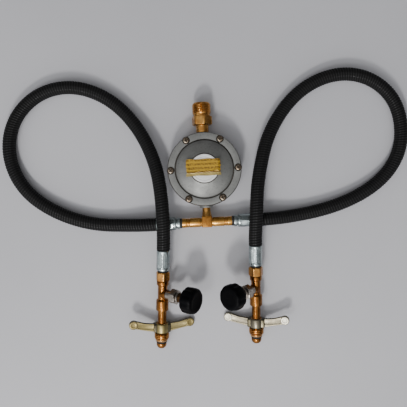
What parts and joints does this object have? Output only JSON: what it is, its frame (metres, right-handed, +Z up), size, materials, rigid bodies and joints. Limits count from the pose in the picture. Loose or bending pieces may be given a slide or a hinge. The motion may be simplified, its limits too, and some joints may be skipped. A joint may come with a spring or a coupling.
{
  "type": "two-cylinder gas regulator and hose set",
  "caption": "Round gas regulator with a threaded outlet and a tee, from which braided hoses loop to hand-tightened cylinder connectors with side valves.",
  "frame": {"origin": "on the surface the set lies on, under the middle of the regulator's round base", "axes": "+Y along the outlet, away from the tee; +X to the right seen from above; +Z up"},
  "size_m": [0.5994, 0.4016, 0.074],
  "materials": {
    "brass": "machined, with a thin brown tarnish",
    "tee_brass": "forged grain on the block, turned barrels",
    "nickel": "dull nickel plate on a casting",
    "zinc_cast": "plain grey die-cast zinc",
    "zinc_plated_steel": "bright zinc plate",
    "spring_steel": "drawn wire",
    "hose_cover": "black woven textile cover",
    "rubber": "matte black",
    "knob_plastic": "black moulded, slightly glossy",
    "white_plastic": "off-white moulded",
    "label_film": "thin yellow film, creased"
  },
  "bodies": {
    "set": {"adjusting_screw": "brass", "closing_cap": "white_plastic", "cover_screw_1": "zinc_plated_steel", "cover_screw_2": "zinc_plated_steel", "cover_screw_3": "zinc_plated_steel", "cover_screw_4": "zinc_plated_steel", "cover_screw_5": "zinc_plated_steel", "cover_screw_6": "zinc_plated_steel", "diaphragm": "rubber", "inlet_nozzle": "brass", "left_gland_nut": "brass", "left_hose": "hose_cover", "left_hose_nut": "brass", "left_nose_o_ring": "rubber", "left_spigot": "brass", "left_tee_ferrule": "zinc_plated_steel", "left_tee_insert": "zinc_plated_steel", "left_tee_seal": "rubber", "left_valve_body": "brass", "left_valve_bonnet": "nickel", "left_valve_ferrule": "zinc_plated_steel", "left_valve_insert": "zinc_plated_steel", "left_valve_seal": "rubber", "lever_pin": "zinc_plated_steel", "lower_housing": "zinc_cast", "outlet_adapter": "brass", "regulator_spring": "spring_steel", "right_gland_nut": "brass", "right_hose": "hose_cover", "right_hose_nut": "brass", "right_nose_o_ring": "rubber", "right_spigot": "brass", "right_tee_ferrule": "zinc_plated_steel", "right_tee_insert": "zinc_plated_steel", "right_tee_seal": "rubber", "right_valve_body": "brass", "right_valve_bonnet": "nickel", "right_valve_ferrule": "zinc_plated_steel", "right_valve_insert": "zinc_plated_steel", "right_valve_seal": "rubber", "spring_cover": "zinc_cast", "tamper_label": "label_film", "tee_body": "tee_brass"},
    "diaphragm_stack": {"diaphragm_plate": "zinc_plated_steel", "diaphragm_post": "brass"},
    "lever": {"lever": "brass"},
    "slider": {"valve_slider": "brass", "seat_pad": "rubber"},
    "left_washer": {"left_thrust_washer": "white_plastic"},
    "left_wing_nut": {"left_connector_nut": "brass", "left_wing_handle": "nickel"},
    "left_pad": {"left_valve_pad": "rubber"},
    "left_knob_body": {"left_knob": "knob_plastic", "left_spindle": "brass"},
    "right_washer": {"right_thrust_washer": "white_plastic"},
    "right_wing_nut": {"right_connector_nut": "brass", "right_wing_handle": "nickel"},
    "right_pad": {"right_valve_pad": "rubber"},
    "right_knob_body": {"right_knob": "knob_plastic", "right_spindle": "brass"}
  },
  "joints": [
    {"name": "diaphragm_travel", "type": "slide", "parent": "set", "child": "diaphragm_stack", "axis": [0, 0, 1], "range_m": [0, 0.003], "stiffness_N_per_m": 1500, "springref_m": -0.004, "deforming": ["regulator_spring", "diaphragm"]},
    {"name": "lever_turn", "type": "hinge", "parent": "set", "child": "lever", "pos_m": [0, -0.012, 0.009], "axis": [1, 0, 0], "range_deg": [0, 14.4]},
    {"name": "slider_travel", "type": "slide", "parent": "set", "child": "slider", "axis": [0, 1, 0], "range_m": [-0.0018, 0]},
    {"name": "left_nut_slide", "type": "slide", "parent": "set", "child": "left_washer", "axis": [0.0793, 0.9858, 0.1478], "range_m": [0, 0.0185]},
    {"name": "left_nut_turn", "type": "hinge", "parent": "left_washer", "child": "left_wing_nut", "pos_m": [-0.07676, -0.25936, 0.00872], "axis": [0.0793, 0.9858, 0.1478], "continuous": true},
    {"name": "left_pad_lift", "type": "slide", "parent": "set", "child": "left_pad", "axis": [0.8295, -0.1475, 0.5387], "range_m": [0, 0.0021]},
    {"name": "left_knob_turn", "type": "hinge", "parent": "left_pad", "child": "left_knob_body", "pos_m": [-0.07018, -0.17754, 0.02099], "axis": [0.8295, -0.1475, 0.5387], "range_deg": [0, 720]},
    {"name": "right_nut_slide", "type": "slide", "parent": "set", "child": "right_washer", "axis": [0.0242, 0.9887, 0.1478], "range_m": [0, 0.0185]},
    {"name": "right_nut_turn", "type": "hinge", "parent": "right_washer", "child": "right_wing_nut", "pos_m": [0.06415, -0.25925, 0.00872], "axis": [0.0242, 0.9887, 0.1478], "continuous": true},
    {"name": "right_pad_lift", "type": "slide", "parent": "set", "child": "right_pad", "axis": [-0.7094, -0.0872, 0.6993], "range_m": [0, 0.0021]},
    {"name": "right_knob_turn", "type": "hinge", "parent": "right_pad", "child": "right_knob_body", "pos_m": [0.06616, -0.17719, 0.02099], "axis": [-0.7094, -0.0872, 0.6993], "range_deg": [0, 720]}
  ],
  "couplings": [
    {"joint": "lever_turn", "follows": "diaphragm_travel", "rad_per_m": 83.333},
    {"joint": "slider_travel", "follows": "diaphragm_travel", "ratio": -0.58333},
    {"joint": "left_pad_lift", "follows": "left_knob_turn", "m_per_rad": 0.00015915},
    {"joint": "right_pad_lift", "follows": "right_knob_turn", "m_per_rad": 0.00015915}
  ]
}
